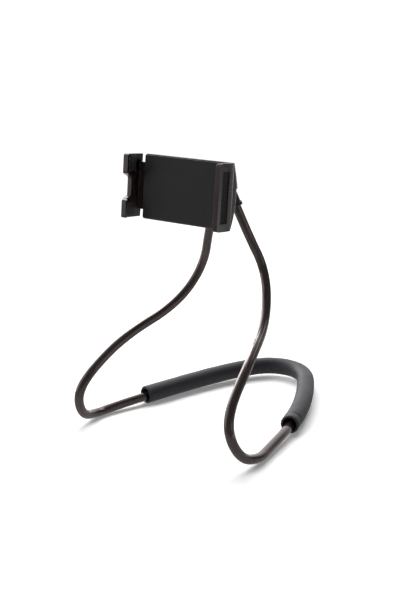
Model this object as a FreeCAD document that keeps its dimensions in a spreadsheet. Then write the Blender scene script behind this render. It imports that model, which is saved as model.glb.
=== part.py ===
import FreeCAD, Part
import math
import os
import Sketcher

# Neck phone holder, bent into a desk stand. A foam-sleeved collar lies on the table,
# the two arms of one bendable rod come forward, turn up and meet in a joiner, and a
# ball joint on the joiner carries a sprung phone clip. Lengths are in millimetres,
# +X is the fixed jaw's side, +Y runs back to the closed end of the collar, +Z is up.

SIZES = (
    ("rod_diameter", 7.0, "bendable rod"),
    ("sleeve_diameter", 14.0, "foam sleeve, outside"),
    ("sleeve_bore", 10.0, "foam sleeve, inside"),
    ("sleeve_gap", 0.25, "rod above the bottom of the sleeve's bore"),
    ("sleeve_setback", 6.2, "sleeve end behind the last bend of the arm"),
    ("ball_y", -35.5, "ball centre, back from the middle of the base"),
    ("ball_z", 179.0, "ball centre above the table"),
    ("ball_diameter", 11.0, "ball of the stud"),
    ("ball_flat", 4.6, "ball's flat nose, from its centre"),
    ("stem_diameter", 5.0, "stem of the stud"),
    ("stud_reach", 27.0, "ball centre to the joiner's split plane"),
    ("flange_diameter", 8.4, "stud flange held in the joiner"),
    ("flange_front", 6.8, "stud flange front, from the split plane"),
    ("flange_thickness", 2.0, "stud flange"),
    ("rake", 11.2, "joiner's lean, degrees"),
    ("splay", 19.8, "rod socket's turn outwards, degrees"),
    ("rod_end_x", 5.0, "rod end from the middle plane"),
    ("rod_end_drop", 6.9, "rod end below the stud's axis"),
    ("socket_depth", 11.6, "rod held in its socket"),
    ("socket_diameter", 9.0, "socket tube, outside"),
    ("grip_gap", 0.05, "radial gap round a gripped rod or stem"),
    ("first_run", 35.0, "rod's end to its first bend"),
    ("ferrule_diameter", 10.4, "ferrule at the socket's mouth"),
    ("ferrule_length", 2.8, "ferrule along the rod"),
    ("joiner_width", 18.0, "joiner block across"),
    ("joiner_front_depth", 8.0, "front half of the joiner"),
    ("joiner_back_depth", 5.5, "back half of the joiner"),
    ("joiner_top", 7.0, "joiner block above the stud's axis"),
    ("joiner_bottom", 11.0, "joiner block below the stud's axis"),
    ("joiner_rounding", 4.0, "joiner block's edges"),
    ("joiner_screw_x", 5.6, "upper joiner screws from the middle"),
    ("joiner_screw_z", 4.2, "upper joiner screws above the stud's axis"),
    ("joiner_screw_low", 8.4, "lower joiner screw below the stud's axis"),
    ("joiner_screw_shank", 2.0, "joiner screw"),
    ("joiner_screw_head", 3.8, "joiner screw's head"),
    ("joiner_screw_bite", 5.0, "joiner screw in the front half"),
    ("screw_head_height", 1.4, "all screw heads"),
    ("screw_gap", 0.1, "radial gap round screws"),
    ("head_recess", 0.5, "joiner screw heads below the surface"),
    ("cut_margin", 1.0, "cuts run past the faces that they open"),
    ("clip_pitch", 4.5, "clip faces up, degrees"),
    ("clip_roll", 1.1, "clip turned on its axis, degrees"),
    ("ball_to_face", 21.0, "ball centre to the pad's face"),
    ("plate_left", 36.8, "plate's end on the sliding side"),
    ("plate_right", 34.6, "plate's end on the fixed side"),
    ("plate_height", 46.5, "plate and fixed jaw"),
    ("plate_rounding", 1.4, "plate's corners"),
    ("pad_thickness", 1.2, "soft pad on the plate"),
    ("pad_inset", 0.6, "pad's edge inside the plate's"),
    ("shell_wall", 2.0, "front shell's wall"),
    ("seam_depth", 4.0, "pad's face to the seam of the shells"),
    ("tongue_thickness", 3.0, "sliding jaw's tongue"),
    ("tongue_height", 34.0, "sliding jaw's tongue"),
    ("tongue_end", 18.0, "tongue's end, from the middle"),
    ("channel_end", 22.0, "channel's end, from the middle"),
    ("slide_gap", 0.15, "gap round the tongue"),
    ("cover_crown", 10.2, "pad's face to the crown of the rear cover"),
    ("cover_edge", 5.6, "pad's face to the rear cover's upper edge"),
    ("cover_rounding", 2.2, "rear cover's ends"),
    ("cover_screw_x", 5.5, "rear cover screws in from the plate's ends"),
    ("cover_screw_z", 2.2, "rear cover screws in from the plate's long edges"),
    ("cover_screw_shank", 1.7, "rear cover screw"),
    ("cover_screw_head", 3.2, "rear cover screw's head"),
    ("cover_screw_seat", 5.0, "pad's face to the screw heads' seat"),
    ("cover_screw_bite", 2.2, "rear cover screw in the front shell"),
    ("liner_thickness", 0.98, "friction liner between ball and socket"),
    ("ball_gap", 0.06, "gap on each side of the liner"),
    ("liner_front", 1.5, "liner in front of the ball's centre"),
    ("liner_back", 1.5, "liner behind the ball's centre"),
    ("collet_diameter", 17.0, "slotted collet round the ball"),
    ("collet_floor", 6.8, "collet's floor in front of the ball's centre"),
    ("collet_bore_back", 1.6, "collet's bore behind the ball's centre"),
    ("collet_lip", 3.65, "collet's lip behind the ball's centre"),
    ("collet_lip_diameter", 11.1, "collet's lip"),
    ("collet_back", 4.4, "collet's end behind the ball's centre"),
    ("collet_mouth", 12.0, "collet's flared mouth"),
    ("collet_slot", 1.0, "collet's slots"),
    ("collet_slot_front", 1.8, "collet's slots start in front of the ball's centre"),
    ("collet_root", 0.8, "collet's foot behind the tongue's channel"),
    ("collet_flange", 23.0, "flange under the collet"),
    ("collet_flange_back", 9.8, "flange's face in front of the ball's centre"),
    ("ring_diameter", 22.0, "lock ring"),
    ("ring_gap", 0.08, "radial gap between ring and collet"),
    ("ring_clearance", 0.3, "ring's face off the flange"),
    ("ring_back", 2.0, "ring's end behind the ball's centre"),
    ("ring_scallop", 3.2, "grip scallops of the ring"),
    ("ring_scallop_depth", 0.7, "grip scallops of the ring"),
    ("jaw_reach", 13.0, "fixed jaw's tip in front of the pad's face"),
    ("jaw_inner", 36.2, "fixed jaw's inner wall"),
    ("jaw_outer", 38.2, "fixed jaw's outer wall"),
    ("jaw_tip_outer", 37.6, "fixed jaw's tip, outside"),
    ("seam_setback", 0.8, "seam's edge inside the fixed jaw's outer wall"),
    ("jaw_break", 5.4, "fixed jaw leans inwards in front of this"),
    ("lip_overhang", 2.4, "jaw lips stand inwards"),
    ("lip_thickness", 1.8, "jaw lips"),
    ("lip_slope", 1.2, "slope under the jaw lips"),
    ("jaw_rounding", 3.0, "jaw corners"),
    ("window_height", 35.5, "window in the fixed jaw"),
    ("window_front", 9.9, "window's front end before the pad's face"),
    ("window_back", 2.2, "window's rear end before the pad's face"),
    ("insert_gap", 0.1, "gap round the window's insert"),
    ("insert_proud", 0.5, "insert proud of the inner wall"),
    ("insert_outer", 37.6, "insert's outer face"),
    ("slider_inner", 43.2, "sliding jaw's inner wall"),
    ("slider_wall", 3.6, "sliding jaw's wall"),
    ("slider_height", 45.5, "sliding jaw"),
    ("slider_reach", 13.8, "sliding jaw's tip in front of the pad's face"),
    ("slider_rear", 6.6, "sliding jaw's rear end behind the pad's face"),
    ("slider_chamfer", 2.0, "sliding jaw's tip, outside"),
    ("upper_lug", 13.5, "upper lug at the tip"),
    ("lower_lug", 12.5, "lower lug at the tip"),
    ("notch_depth", 8.2, "notch between the lugs"),
    ("notch_slope", 3.0, "notch narrows on each side"),
    ("lug_rounding", 1.8, "lugs' corners"),
    ("lug_pad_thickness", 0.9, "rubber pads on the lugs"),
    ("lug_pad_margin", 1.2, "lug pads inside the lugs' edges"),
    ("lug_pad_front", 9.6, "lug pads' front end before the pad's face"),
    ("lug_pad_back", 2.0, "lug pads' rear end before the pad's face"),
    ("spring_slot_left", 24.0, "tongue's spring slot, closed end"),
    ("spring_slot_right", 14.0, "tongue's spring slot, far end"),
    ("spring_slot_height", 4.0, "tongue's spring slot"),
    ("post_length", 3.0, "shell's post in the slot"),
    ("post_gap", 0.1, "gap between post, slot and spring"),
    ("spring_diameter", 2.6, "return spring, outside"),
    ("spring_wire", 0.5, "return spring's wire"),
    ("spring_pitch", 3.4, "return spring's pitch at rest"),
)

# The rod's hand-made bends after the first one, right-hand half: the arm's as x, y, z,
# then those on the table and in the sleeve as x, y.
ARM_BENDS = (
    (29.9, 10.4, 111.1),
    (40.5, -11.7, 82.9),
    (55.9, -57.1, 65.9),
    (63.0, -89.0, 46.5),
    (67.5, -98.5, 27.0),
    (71.5, -91.5, 11.0),
)
TABLE_BENDS = ((73.5, -73.5), (71.5, -55.5))
COLLAR_BENDS = ((66.5, -21.5), (49.5, 37.0), (17.5, 93.2))
BEND_SHARE = 0.45
RING_SCALLOPS = 12
CHORDS_PER_TURN = 8

doc = FreeCAD.newDocument("neck_phone_holder")
sheet = doc.addObject("Spreadsheet::Sheet", "sizes")
for row, (alias, value, note) in enumerate(SIZES, start=1):
    sheet.set("A%d" % row, note)
    sheet.set("B%d" % row, str(value))
    sheet.setAlias("B%d" % row, alias)
doc.recompute()

Vector = FreeCAD.Vector
X_AXIS = Vector(1, 0, 0)
Y_AXIS = Vector(0, 1, 0)
Z_AXIS = Vector(0, 0, 1)
PARTS = []


def size(alias):
    return float(sheet.get(alias))


def number(expression):
    return float(sheet.evalExpression(expression))


def keep(part, label, placement=None):
    """Names a finished piece and puts it in its place."""
    part.Label = label
    if placement is not None:
        part.Placement = placement
    PARTS.append(part)
    return part


# Places of the two assemblies

BALL = Vector(0, size("ball_y"), size("ball_z"))
JOINER_TURN = FreeCAD.Rotation(X_AXIS, size("rake"))
JOINER = FreeCAD.Placement(BALL + JOINER_TURN.multVec(Y_AXIS) * size("stud_reach"), JOINER_TURN)
CLIP_TURN = FreeCAD.Rotation(X_AXIS, -size("clip_pitch")) * FreeCAD.Rotation(Y_AXIS, size("clip_roll"))
CLIP = FreeCAD.Placement(BALL, CLIP_TURN)

# Depths in the clip, measured from the ball's centre along the clip's own axis

FACE = "(-sizes.ball_to_face)"
SHELL_FRONT = FACE + " + sizes.pad_thickness"
CHANNEL_FRONT = SHELL_FRONT + " + sizes.shell_wall"
SEAM = FACE + " + sizes.seam_depth"
TONGUE_FRONT = CHANNEL_FRONT + " + sizes.slide_gap"
TONGUE_BACK = TONGUE_FRONT + " + sizes.tongue_thickness"
CHANNEL_BACK = TONGUE_BACK + " + sizes.slide_gap"
HALF_PLATE = "sizes.plate_height / 2"
HALF_CHANNEL = "(sizes.tongue_height / 2 + sizes.slide_gap)"
SOCKET_RADIUS = "(sizes.ball_diameter / 2 + 2 * sizes.ball_gap + sizes.liner_thickness)"


# Helpers for sketched pieces

def new_body(label):
    return doc.addObject("PartDesign::Body", label)


def sketch_on(body, role, offset="0"):
    plane = [feature for feature in body.Origin.OriginFeatures if feature.Role == role][0]
    sketch = body.newObject("Sketcher::SketchObject", body.Name + "_sketch")
    sketch.AttachmentSupport = [(plane, "")]
    sketch.MapMode = "FlatFace"
    sketch.setExpression("AttachmentOffset.Base.z", offset)
    return sketch


def bind(sketch, constraint, expression):
    index = sketch.addConstraint(constraint)
    sketch.setExpression("Constraints[%d]" % index, expression)


def outline(sketch, corners, arcs=None):
    """Draws a closed outline. Corners are pairs of expressions, and arcs gives, by the
    number of the corner that they start from, an arc's radius and a point on it."""
    arcs = arcs or {}
    points = [Vector(number(across), number(along), 0) for across, along in corners]
    count = len(points)
    base = sketch.GeometryCount
    ends = []
    for i, start in enumerate(points):
        end = points[(i + 1) % count]
        if i in arcs:
            middle = Vector(number(arcs[i][1]), number(arcs[i][2]), 0)
            sketch.addGeometry(Part.Arc(start, middle, end), False)
        else:
            sketch.addGeometry(Part.LineSegment(start, end), False)
        first, last = (sketch.getPoint(base + i, place) for place in (1, 2))
        forward = (first - start).Length < (last - start).Length
        ends.append((1, 2) if forward else (2, 1))
    for i in range(count):
        after = (i + 1) % count
        joint = (base + i, ends[i][1], base + after, ends[after][0])
        sketch.addConstraint(Sketcher.Constraint("Coincident", *joint))
    for i, (across, along) in enumerate(corners):
        place = (base + i, ends[i][0])
        bind(sketch, Sketcher.Constraint("DistanceX", -1, 1, *place, points[i].x), across)
        bind(sketch, Sketcher.Constraint("DistanceY", -1, 1, *place, points[i].y), along)
    for i, arc in arcs.items():
        bind(sketch, Sketcher.Constraint("Radius", base + i, number(arc[0])), arc[0])


def box_corners(left, right, low, high):
    return ((left, low), (right, low), (right, high), (left, high))


def circle(sketch, across, along, radius):
    centre = Vector(number(across), number(along), 0)
    index = sketch.addGeometry(Part.Circle(centre, Z_AXIS, number(radius)), False)
    bind(sketch, Sketcher.Constraint("DistanceX", -1, 1, index, 3, centre.x), across)
    bind(sketch, Sketcher.Constraint("DistanceY", -1, 1, index, 3, centre.y), along)
    bind(sketch, Sketcher.Constraint("Radius", index, number(radius)), radius)


def pad(body, sketch, length, symmetric=False, reverse=False):
    feature = body.newObject("PartDesign::Pad", body.Name + "_pad")
    feature.Profile = sketch
    feature.setExpression("Length", length)
    feature.Reversed = reverse
    if symmetric:
        feature.SideType = "Symmetric"
    doc.recompute()
    return feature


def pocket(body, sketch, length, symmetric=False, reverse=False):
    """Cuts a pocket, and makes sure that it did cut."""
    before = body.Shape.Volume
    feature = body.newObject("PartDesign::Pocket", body.Name + "_pocket")
    feature.Profile = sketch
    feature.setExpression("Length", length)
    feature.Reversed = reverse
    if symmetric:
        feature.SideType = "Symmetric"
    doc.recompute()
    if body.Shape.Volume >= before:
        raise RuntimeError("the pocket cuts nothing in " + body.Name)
    return feature


def turned(body, sketch):
    feature = body.newObject("PartDesign::Revolution", body.Name + "_turning")
    feature.Profile = sketch
    feature.ReferenceAxis = (sketch, ["V_Axis"])
    feature.Angle = 360
    doc.recompute()
    return feature


def round_edges(body, radius, chosen):
    """Rounds the edges of the body's last feature that the test picks out."""
    base = body.Tip
    names = ["Edge%d" % n for n, edge in enumerate(base.Shape.Edges, 1) if chosen(edge)]
    feature = body.newObject("PartDesign::Fillet", body.Name + "_rounding")
    feature.Base = (base, names)
    feature.setExpression("Radius", radius)
    doc.recompute()
    return feature


def runs_along(edge, axis):
    straight = edge.Curve.TypeId == "Part::GeomLine"
    return straight and abs(edge.tangentAt(edge.FirstParameter).dot(axis)) > 0.999


# Rod and sleeve

def rounded_route(points):
    """Straight runs joined by tangent arcs, each as large as its two runs allow."""
    edges = []
    start = points[0]
    for before, corner, after in zip(points, points[1:], points[2:]):
        back = before - corner
        ahead = after - corner
        reach = BEND_SHARE * min(back.Length, ahead.Length)
        back.normalize()
        ahead.normalize()
        inward = (back + ahead).normalize()
        lean = back.getAngle(inward)
        radius = reach * math.tan(lean)
        entry = corner + back * reach
        leave = corner + ahead * reach
        middle = corner + inward * (reach / math.cos(lean) - radius)
        edges.append(Part.LineSegment(start, entry).toShape())
        edges.append(Part.Arc(entry, middle, leave).toShape())
        print("bend radius %.1f" % radius)
        start = leave
    edges.append(Part.LineSegment(start, points[-1]).toShape())
    return Part.Wire(edges)


def both_sides(points):
    return points + [Vector(-point.x, point.y, point.z) for point in reversed(points)]


def swept_rod(name, points, radius):
    route = doc.addObject("Part::Feature", name + "_route")
    route.Shape = rounded_route(points)
    section = doc.addObject("Part::Circle", name + "_section")
    section.setExpression("Radius", radius)
    section.Placement = FreeCAD.Placement(points[0], FreeCAD.Rotation(Z_AXIS, points[1] - points[0]))
    sweep = doc.addObject("Part::Sweep", name)
    sweep.Sections = [section]
    sweep.Spine = (route, ["Edge%d" % n for n in range(1, len(route.Shape.Edges) + 1)])
    sweep.Solid = True
    doc.recompute()
    expected = math.pi * number(radius) ** 2 * route.Shape.Length
    print("%s: %.0f mm long, volume %.4f of section times length" % (
        name, route.Shape.Length, sweep.Shape.Volume / expected))
    return sweep


socket_way = Vector(math.sin(math.radians(size("splay"))), 0, -math.cos(math.radians(size("splay"))))
rod_end = Vector(size("rod_end_x"), 0, -size("rod_end_drop"))
table_height = size("rod_diameter") / 2
sleeve_wall = (size("sleeve_diameter") - size("sleeve_bore")) / 2
collar_height = sleeve_wall + size("sleeve_gap") + table_height

half_route = [JOINER.multVec(rod_end), JOINER.multVec(rod_end + socket_way * size("first_run"))]
half_route += [Vector(*bend) for bend in ARM_BENDS]
half_route += [Vector(x, y, table_height) for x, y in TABLE_BENDS]
half_route += [Vector(x, y, collar_height) for x, y in COLLAR_BENDS]
keep(swept_rod("gooseneck_rod", both_sides(half_route), "sizes.rod_diameter / 2"), "gooseneck_rod")

collar = [Vector(x, y, size("sleeve_diameter") / 2) for x, y in COLLAR_BENDS]
first_way = (collar[1] - collar[0]).normalize()
collar[0] = collar[0] + first_way * size("sleeve_setback")
sleeve = doc.addObject("Part::Cut", "neck_sleeve")
sleeve.Base = swept_rod("sleeve_outside", both_sides(collar), "sizes.sleeve_diameter / 2")
sleeve.Tool = swept_rod("sleeve_inside", both_sides(collar), "sizes.sleeve_bore / 2")
keep(sleeve, "neck_sleeve")


# Joiner, in its own leaning frame: y = 0 is the split plane, and the stud lies on the y axis

def cylinder(name, radius, height, base, way):
    solid = doc.addObject("Part::Cylinder", name)
    solid.setExpression("Radius", radius)
    solid.setExpression("Height", height)
    solid.Placement = FreeCAD.Placement(base, FreeCAD.Rotation(Z_AXIS, way))
    return solid


def fused(name, solids):
    union = doc.addObject("Part::MultiFuse", name)
    union.Shapes = solids
    return union


def cut(name, base, tools):
    result = doc.addObject("Part::Cut", name)
    result.Base = base
    result.Tool = fused(name + "_cuts", tools)
    return result


SIDES = (("right", 1), ("left", -1))


def mirrored(vector, side):
    return Vector(vector.x * side, vector.y, vector.z)


def joiner_body(name):
    """The whole moulding before it is split: a rounded block with two socket tubes."""
    block = doc.addObject("Part::Box", name + "_block")
    block.setExpression("Length", "sizes.joiner_width")
    block.setExpression("Width", "sizes.joiner_front_depth + sizes.joiner_back_depth")
    block.setExpression("Height", "sizes.joiner_top + sizes.joiner_bottom")
    block.setExpression("Placement.Base.x", "-sizes.joiner_width / 2")
    block.setExpression("Placement.Base.y", "-sizes.joiner_front_depth")
    block.setExpression("Placement.Base.z", "-sizes.joiner_bottom")
    doc.recompute()
    rounded = doc.addObject("Part::Fillet", name + "_rounded")
    rounded.Base = block
    radius = size("joiner_rounding")
    rounded.Edges = [(n, radius, radius) for n, edge in enumerate(block.Shape.Edges, 1)
                     if runs_along(edge, Y_AXIS)]
    tubes = [cylinder(name + "_tube_" + word, "sizes.socket_diameter / 2", "sizes.socket_depth",
                      mirrored(rod_end, side), mirrored(socket_way, side)) for word, side in SIDES]
    return fused(name + "_body", [rounded] + tubes)


def half_space(name, front):
    """A box that covers one side of the split plane."""
    box = doc.addObject("Part::Box", name + "_half")
    reach = 2 * (size("joiner_width") + size("socket_depth"))
    box.Length = reach
    box.Width = reach
    box.Height = reach
    box.Placement.Base = Vector(-reach / 2, -reach if front else 0, -reach / 2)
    return box


def rod_bores(name):
    return [cylinder(name + "_bore_" + word, "sizes.rod_diameter / 2 + sizes.grip_gap",
                     "sizes.first_run", mirrored(rod_end, side), mirrored(socket_way, side))
            for word, side in SIDES]


joiner_screw_places = [
    Vector(size("joiner_screw_x"), 0, size("joiner_screw_z")),
    Vector(-size("joiner_screw_x"), 0, size("joiner_screw_z")),
    Vector(0, 0, -size("joiner_screw_low")),
]
flange_back = "(-sizes.flange_front + sizes.flange_thickness)"
head_seat = size("joiner_back_depth") - size("screw_head_height") - size("head_recess")

front_common = doc.addObject("Part::Common", "joiner_front_half")
front_common.Base = joiner_body("joiner_front")
front_common.Tool = half_space("joiner_front", True)
front_cuts = rod_bores("joiner_front")
front_cuts.append(cylinder("stem_hole", "sizes.stem_diameter / 2 + sizes.grip_gap",
                           "2 * sizes.joiner_front_depth", Vector(0, 0, 0), -Y_AXIS))
front_cuts.append(cylinder("flange_pocket", "sizes.flange_diameter / 2 + sizes.grip_gap",
                           "sizes.flange_front", Vector(0, 0, 0), -Y_AXIS))
for n, place in enumerate(joiner_screw_places):
    front_cuts.append(cylinder("pilot_%d" % n, "sizes.joiner_screw_shank / 2 + sizes.grip_gap",
                               "sizes.joiner_screw_bite + sizes.screw_gap", place, -Y_AXIS))
keep(cut("joiner_front", front_common, front_cuts), "joiner_front", JOINER)

back_common = doc.addObject("Part::Common", "joiner_back_half")
back_common.Base = joiner_body("joiner_back")
back_common.Tool = half_space("joiner_back", False)
clamp = cylinder("flange_clamp", "sizes.flange_diameter / 2 - sizes.grip_gap", "-1 * " + flange_back,
                 Vector(0, 0, 0), -Y_AXIS)
back_cuts = rod_bores("joiner_back")
for n, place in enumerate(joiner_screw_places):
    back_cuts.append(cylinder("way_%d" % n, "sizes.joiner_screw_shank / 2 + sizes.screw_gap",
                              "sizes.joiner_back_depth", place, Y_AXIS))
    seat = place + Y_AXIS * head_seat
    back_cuts.append(cylinder("seat_%d" % n, "sizes.joiner_screw_head / 2 + sizes.screw_gap",
                              "sizes.joiner_back_depth", seat, Y_AXIS))
clamping_half = fused("joiner_back_clamp", [back_common, clamp])
keep(cut("joiner_back", clamping_half, back_cuts), "joiner_back", JOINER)


def screw_group(name, places, way, shank, head, length, placement):
    """Pan-head screws, each a separate solid: the place is the seat under the head."""
    height = size("screw_head_height")
    solids = []
    for place in places:
        shaft = Part.makeCylinder(shank / 2, length, place, -way)
        cap = Part.makeCylinder(head / 2, height, place, way)
        solids.append(shaft.fuse(cap).removeSplitter())
    group = doc.addObject("Part::Feature", name)
    group.Shape = Part.makeCompound(solids)
    keep(group, name, placement)


screw_group("joiner_screws", [place + Y_AXIS * head_seat for place in joiner_screw_places], Y_AXIS,
            size("joiner_screw_shank"), size("joiner_screw_head"),
            head_seat + size("joiner_screw_bite"), JOINER)

for word, side in SIDES:
    mouth = mirrored(rod_end + socket_way * size("socket_depth"), side)
    name = "rod_ferrule_" + word
    ring = cylinder(name + "_ring", "sizes.ferrule_diameter / 2", "sizes.ferrule_length", mouth,
                    mirrored(socket_way, side))
    bore = cylinder(name + "_bore", "sizes.rod_diameter / 2 + sizes.grip_gap", "sizes.ferrule_length", mouth,
                    mirrored(socket_way, side))
    ferrule = doc.addObject("Part::Cut", name)
    ferrule.Base = ring
    ferrule.Tool = bore
    keep(ferrule, name, JOINER)

# Ball stud, turned about the joiner's y axis

stud = new_body("ball_stud")
profile = sketch_on(stud, "XY_Plane")
stud_corners = (
    ("0", "-sizes.stud_reach - sizes.ball_flat"),
    ("sqrt((sizes.ball_diameter / 2)^2 - sizes.ball_flat^2)", "-sizes.stud_reach - sizes.ball_flat"),
    ("sizes.stem_diameter / 2",
     "-sizes.stud_reach + sqrt((sizes.ball_diameter / 2)^2 - (sizes.stem_diameter / 2)^2)"),
    ("sizes.stem_diameter / 2", "-sizes.flange_front"),
    ("sizes.flange_diameter / 2", "-sizes.flange_front"),
    ("sizes.flange_diameter / 2", flange_back),
    ("0", flange_back),
)
ball_radius = "sizes.ball_diameter / 2"
outline(profile, stud_corners, {1: (ball_radius, ball_radius, "-sizes.stud_reach")})
turned(stud, profile)
keep(stud, "ball_stud", JOINER)

# Friction liner, a zone of a thin sphere between ball and socket

liner = new_body("ball_liner")
profile = sketch_on(liner, "XY_Plane")
inside = "(sizes.ball_diameter / 2 + sizes.ball_gap)"
outside = "(sizes.ball_diameter / 2 + sizes.ball_gap + sizes.liner_thickness)"
liner_corners = (
    ("sqrt(%s^2 - sizes.liner_front^2)" % outside, "-sizes.liner_front"),
    ("sqrt(%s^2 - sizes.liner_back^2)" % outside, "sizes.liner_back"),
    ("sqrt(%s^2 - sizes.liner_back^2)" % inside, "sizes.liner_back"),
    ("sqrt(%s^2 - sizes.liner_front^2)" % inside, "-sizes.liner_front"),
)
outline(profile, liner_corners, {0: (outside, outside, "0"), 2: (inside, inside, "0")})
turned(liner, profile)
keep(liner, "ball_liner", CLIP)

# Lock ring with grip scallops

ring = new_body("lock_ring")
profile = sketch_on(ring, "XY_Plane")
ring_front = "(-sizes.collet_flange_back + sizes.ring_clearance)"
ring_inside = "sizes.collet_diameter / 2 + sizes.ring_gap"
outline(profile, box_corners(ring_inside, "sizes.ring_diameter / 2", ring_front, "sizes.ring_back"))
turned(ring, profile)
scallops = sketch_on(ring, "XZ_Plane")
scallop_reach = "sizes.ring_diameter / 2 + sizes.ring_scallop / 2 - sizes.ring_scallop_depth"
circle(scallops, scallop_reach, "0", "sizes.ring_scallop / 2")
scallop = pocket(ring, scallops, "2 * sizes.ball_to_face", symmetric=True)
pattern = ring.newObject("PartDesign::PolarPattern", "ring_grips")
pattern.Originals = [scallop]
pattern.Axis = (scallops, ["N_Axis"])
pattern.Angle = 360
pattern.Occurrences = RING_SCALLOPS
ring.Tip = pattern
keep(ring, "lock_ring", CLIP)

# Front shell: plate with the tongue's channel, fixed jaw, window and spring post

shell = new_body("front_shell")
plate = sketch_on(shell, "XZ_Plane", "-(%s)" % SEAM)
outline(plate, box_corners("-sizes.plate_left", "sizes.jaw_inner", "-" + HALF_PLATE, HALF_PLATE))
pad(shell, plate, "%s - (%s)" % (SEAM, SHELL_FRONT))
round_edges(shell, "sizes.plate_rounding",
            lambda edge: runs_along(edge, Y_AXIS) and edge.CenterOfMass.x < 0)

jaw = sketch_on(shell, "XY_Plane")
lip_back = FACE + " - sizes.jaw_reach + sizes.lip_thickness"
jaw_corners = (
    ("sizes.plate_right", SHELL_FRONT),
    ("sizes.plate_right", SEAM),
    ("sizes.jaw_outer - sizes.seam_setback", SEAM),
    ("sizes.jaw_outer", SEAM + " - sizes.shell_wall"),
    ("sizes.jaw_outer", FACE + " - sizes.jaw_break"),
    ("sizes.jaw_tip_outer", FACE + " - sizes.jaw_reach"),
    ("sizes.jaw_inner - sizes.lip_overhang", FACE + " - sizes.jaw_reach"),
    ("sizes.jaw_inner - sizes.lip_overhang", lip_back),
    ("sizes.jaw_inner", lip_back + " + sizes.lip_slope"),
    ("sizes.jaw_inner", SHELL_FRONT),
)
outline(jaw, jaw_corners)
pad(shell, jaw, "sizes.plate_height", symmetric=True)
jaw_front = number(FACE + " - sizes.jaw_break")
round_edges(shell, "sizes.jaw_rounding",
            lambda edge: runs_along(edge, X_AXIS) and edge.CenterOfMass.y < jaw_front)

window = sketch_on(shell, "YZ_Plane", "sizes.jaw_outer + sizes.cut_margin")
outline(window, box_corners(FACE + " - sizes.window_front", FACE + " - sizes.window_back",
                            "-sizes.window_height / 2", "sizes.window_height / 2"))
pocket(shell, window, "sizes.jaw_outer + sizes.cut_margin - sizes.plate_right")

channel_corners = box_corners("-sizes.plate_left - sizes.cut_margin", "sizes.channel_end",
                              "-" + HALF_CHANNEL, HALF_CHANNEL)
channel = sketch_on(shell, "XZ_Plane", "-(%s)" % SEAM)
outline(channel, channel_corners)
pocket(shell, channel, "%s - (%s)" % (SEAM, CHANNEL_FRONT), reverse=True)

post = sketch_on(shell, "XZ_Plane", "-(%s)" % TONGUE_BACK)
post_left = "-sizes.spring_slot_left + sizes.post_gap"
half_post = "(sizes.spring_slot_height / 2 - sizes.slide_gap)"
outline(post, box_corners(post_left, post_left + " + sizes.post_length", "-" + half_post, half_post))
pad(shell, post, "%s - (%s)" % (TONGUE_BACK, CHANNEL_FRONT))

pilots = sketch_on(shell, "XZ_Plane", "-(%s)" % SEAM)
SCREW_COLUMNS = ("-sizes.plate_left + sizes.cover_screw_x", "sizes.plate_right - sizes.cover_screw_x")
SCREW_ROWS = ("-%s + sizes.cover_screw_z" % HALF_PLATE, "%s - sizes.cover_screw_z" % HALF_PLATE)
SCREW_CORNERS = [(across, along) for across in SCREW_COLUMNS for along in SCREW_ROWS]
for across, along in SCREW_CORNERS:
    circle(pilots, across, along, "sizes.cover_screw_shank / 2 + sizes.grip_gap")
pocket(shell, pilots, "sizes.cover_screw_bite + sizes.screw_gap", reverse=True)
keep(shell, "front_shell", CLIP)

# Soft pad on the plate

front_pad = new_body("front_pad")
face = sketch_on(front_pad, "XZ_Plane", "-(%s)" % SHELL_FRONT)
half_pad = "(sizes.plate_height / 2 - sizes.pad_inset)"
outline(face, box_corners("-sizes.plate_left + sizes.pad_inset", "sizes.plate_right - sizes.pad_inset",
                          "-" + half_pad, half_pad))
pad(front_pad, face, "sizes.pad_thickness")
round_edges(front_pad, "sizes.plate_rounding - sizes.pad_inset",
            lambda edge: runs_along(edge, Y_AXIS) and edge.CenterOfMass.x < 0)
keep(front_pad, "front_pad", CLIP)

# Rubber insert in the fixed jaw's window

insert = new_body("fixed_jaw_pad")
block = sketch_on(insert, "YZ_Plane", "sizes.jaw_inner - sizes.insert_proud")
half_insert = "(sizes.window_height / 2 - sizes.insert_gap)"
outline(block, box_corners(FACE + " - sizes.window_front + sizes.insert_gap",
                           FACE + " - sizes.window_back - sizes.insert_gap", "-" + half_insert, half_insert))
pad(insert, block, "sizes.insert_outer - sizes.jaw_inner + sizes.insert_proud")
keep(insert, "fixed_jaw_pad", CLIP)

# Rear cover: domed shell, slotted collet and screw seats

cover = new_body("rear_cover")
dome = sketch_on(cover, "YZ_Plane", "-sizes.plate_left")
rise = "(sizes.cover_crown - sizes.cover_edge)"
dome_radius = "((%s)^2 + %s^2) / (2 * %s)" % (HALF_PLATE, rise, rise)
edge_depth = FACE + " + sizes.cover_edge"
dome_corners = (
    (SEAM, "-" + HALF_PLATE),
    (edge_depth, "-" + HALF_PLATE),
    (edge_depth, HALF_PLATE),
    (SEAM, HALF_PLATE),
)
outline(dome, dome_corners, {1: (dome_radius, FACE + " + sizes.cover_crown", "0")})
pad(cover, dome, "sizes.plate_left + sizes.jaw_outer - sizes.seam_setback")
dome_back = number(edge_depth)
round_edges(cover, "sizes.cover_rounding",
            lambda edge: not runs_along(edge, X_AXIS) and edge.CenterOfMass.y > dome_back)

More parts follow.
